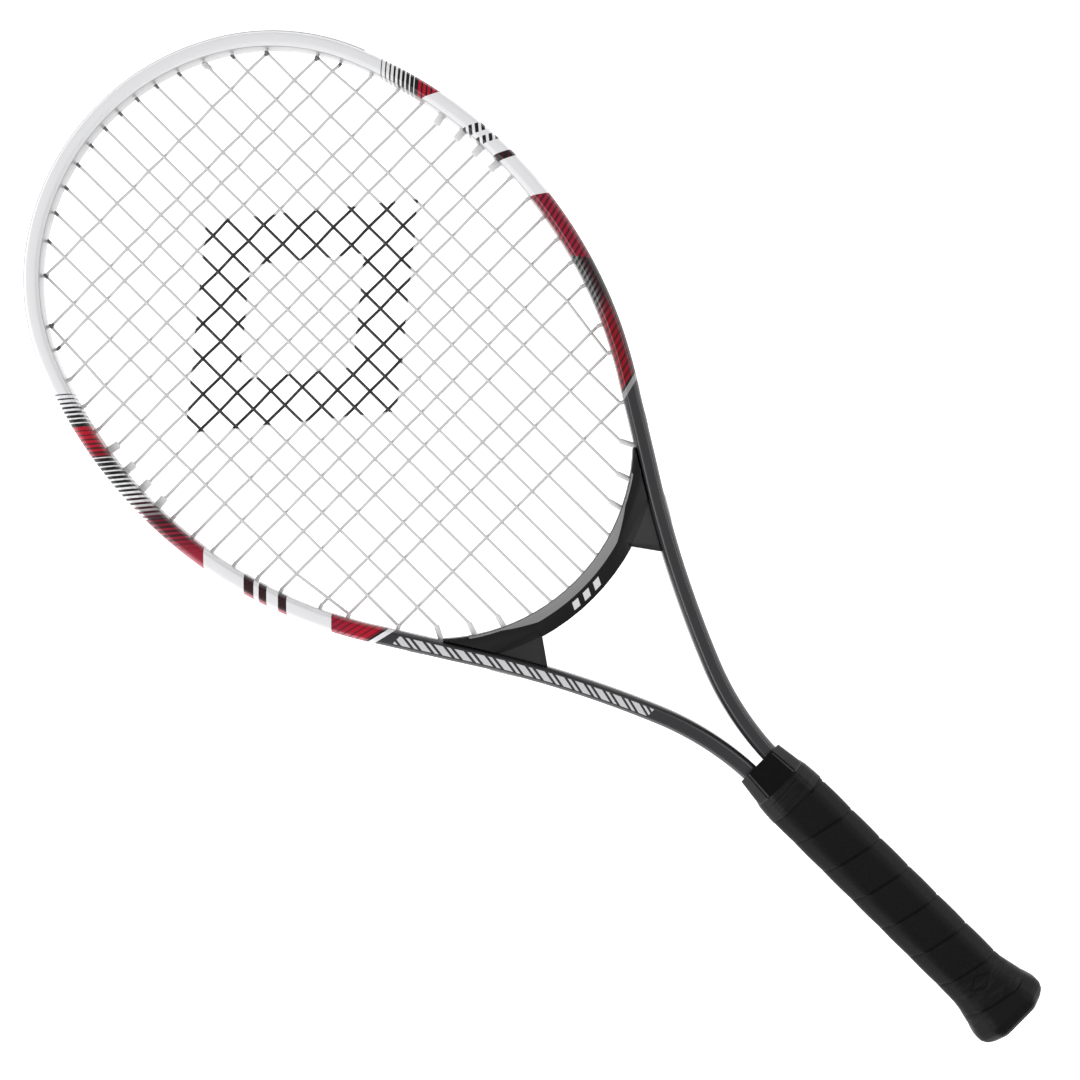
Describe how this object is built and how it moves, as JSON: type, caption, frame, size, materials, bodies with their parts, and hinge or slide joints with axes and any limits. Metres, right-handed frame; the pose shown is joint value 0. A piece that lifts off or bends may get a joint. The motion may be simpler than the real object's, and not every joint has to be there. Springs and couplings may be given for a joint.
{
  "type": "tennis racket",
  "caption": "Oversize recreational tennis racket: bent aluminium frame tube, moulded throat bridge, strung bed, grommet strips and a wrapped eight-sided handle.",
  "frame": {"origin": "under the middle of the racket's length and width, on the surface that it lies on", "axes": "+X across the head, +Y from the butt to the tip of the head, +Z out of the front face"},
  "size_m": [0.28, 0.6984, 0.039],
  "materials": {
    "frame_paint": "white gloss paint with red and black blocks on the head, charcoal on the shafts",
    "bridge_plastic": "satin black moulding",
    "bumper_nylon": "pale satin nylon",
    "grommet_nylon": "pale satin nylon",
    "sleeve_rubber": "translucent soft grey",
    "string_nylon": "natural multifilament, with black ink in places",
    "handle_plastic": "gloss black",
    "tape_vinyl": "stretched vinyl tape, wrinkled",
    "grip_leather": "soft grained synthetic leather",
    "cap_plastic": "matte black"
  },
  "bodies": {
    "root": {"frame_tube": "frame_paint", "throat_bridge": "bridge_plastic", "head_bumper_strip": "bumper_nylon", "side_grommet_strip_left": "grommet_nylon", "side_grommet_strip_right": "grommet_nylon", "bridge_grommet_strip": "grommet_nylon", "side_sleeve_left_1": "sleeve_rubber", "side_sleeve_left_2": "sleeve_rubber", "side_sleeve_left_3": "sleeve_rubber", "side_sleeve_left_4": "sleeve_rubber", "side_sleeve_right_1": "sleeve_rubber", "side_sleeve_right_2": "sleeve_rubber", "side_sleeve_right_3": "sleeve_rubber", "side_sleeve_right_4": "sleeve_rubber", "main_string": "string_nylon", "cross_string": "string_nylon", "handle_shell_front": "handle_plastic", "handle_shell_back": "handle_plastic", "finishing_tape": "tape_vinyl", "grip_wrap": "grip_leather", "butt_cap": "cap_plastic"}
  },
  "joints": []
}
